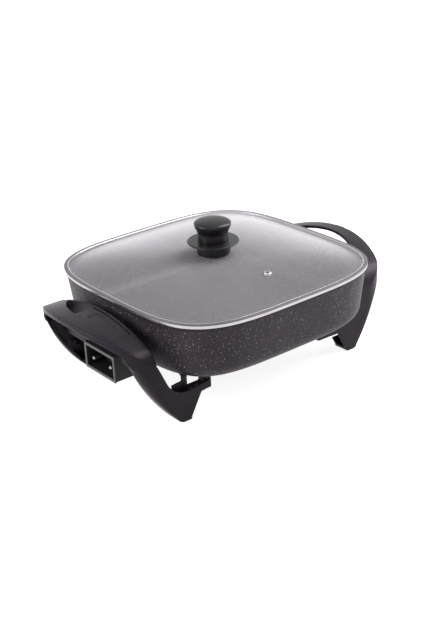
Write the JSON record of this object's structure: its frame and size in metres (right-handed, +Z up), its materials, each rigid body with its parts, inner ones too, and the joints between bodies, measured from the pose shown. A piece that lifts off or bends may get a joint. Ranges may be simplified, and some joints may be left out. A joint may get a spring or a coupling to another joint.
{
  "type": "electric skillet",
  "caption": "Square electric skillet: a deep coated pan on two arched handles with legs, a plug inlet under one handle and a loose domed glass lid with a knob.",
  "frame": {"origin": "on the table under the centre of the pan", "axes": "+X towards the plain handle and -X towards the handle with the inlet, +Y across, +Z up"},
  "size_m": [0.439, 0.3198, 0.186],
  "materials": {
    "pan_coating": "satin",
    "element_sheath": "satin",
    "plated_pin": "polished",
    "ceramic": "matte",
    "well_metal": "satin",
    "inlet_plastic": "matte",
    "inlet_frame_grey": "satin",
    "handle_plastic": "satin",
    "lid_glass": "gloss",
    "lid_steel": "polished",
    "silicone": "matte",
    "knob_plastic": "satin",
    "screw_steel": "satin",
    "foot_rubber": "matte"
  },
  "bodies": {
    "base": {"pan": "pan_coating", "heating_element": "element_sheath", "terminal_pin_near": "plated_pin", "terminal_pin_far": "plated_pin", "terminal_bead_near": "ceramic", "terminal_bead_far": "ceramic", "thermostat_well": "well_metal", "inlet_shroud": "inlet_plastic", "inlet_frame": "inlet_frame_grey", "inlet_cover": "handle_plastic", "handle_left": "handle_plastic", "handle_right": "handle_plastic", "handle_screw_1": "screw_steel", "handle_screw_2": "screw_steel", "handle_screw_3": "screw_steel", "handle_screw_4": "screw_steel", "foot_pad_1": "foot_rubber", "foot_pad_2": "foot_rubber", "foot_pad_3": "foot_rubber", "foot_pad_4": "foot_rubber"},
    "lid": {"lid_glass": "lid_glass", "lid_rim": "lid_steel", "knob_gasket": "silicone", "knob_base": "knob_plastic", "knob_guard": "knob_plastic", "knob_head": "knob_plastic", "knob_washer": "screw_steel", "knob_screw": "screw_steel", "vent_eyelet": "lid_steel"}
  },
  "joints": [
    {"name": "lid_lift", "type": "slide", "parent": "base", "child": "lid", "axis": [0, 0, 1], "range_m": [0, 0.15]}
  ]
}
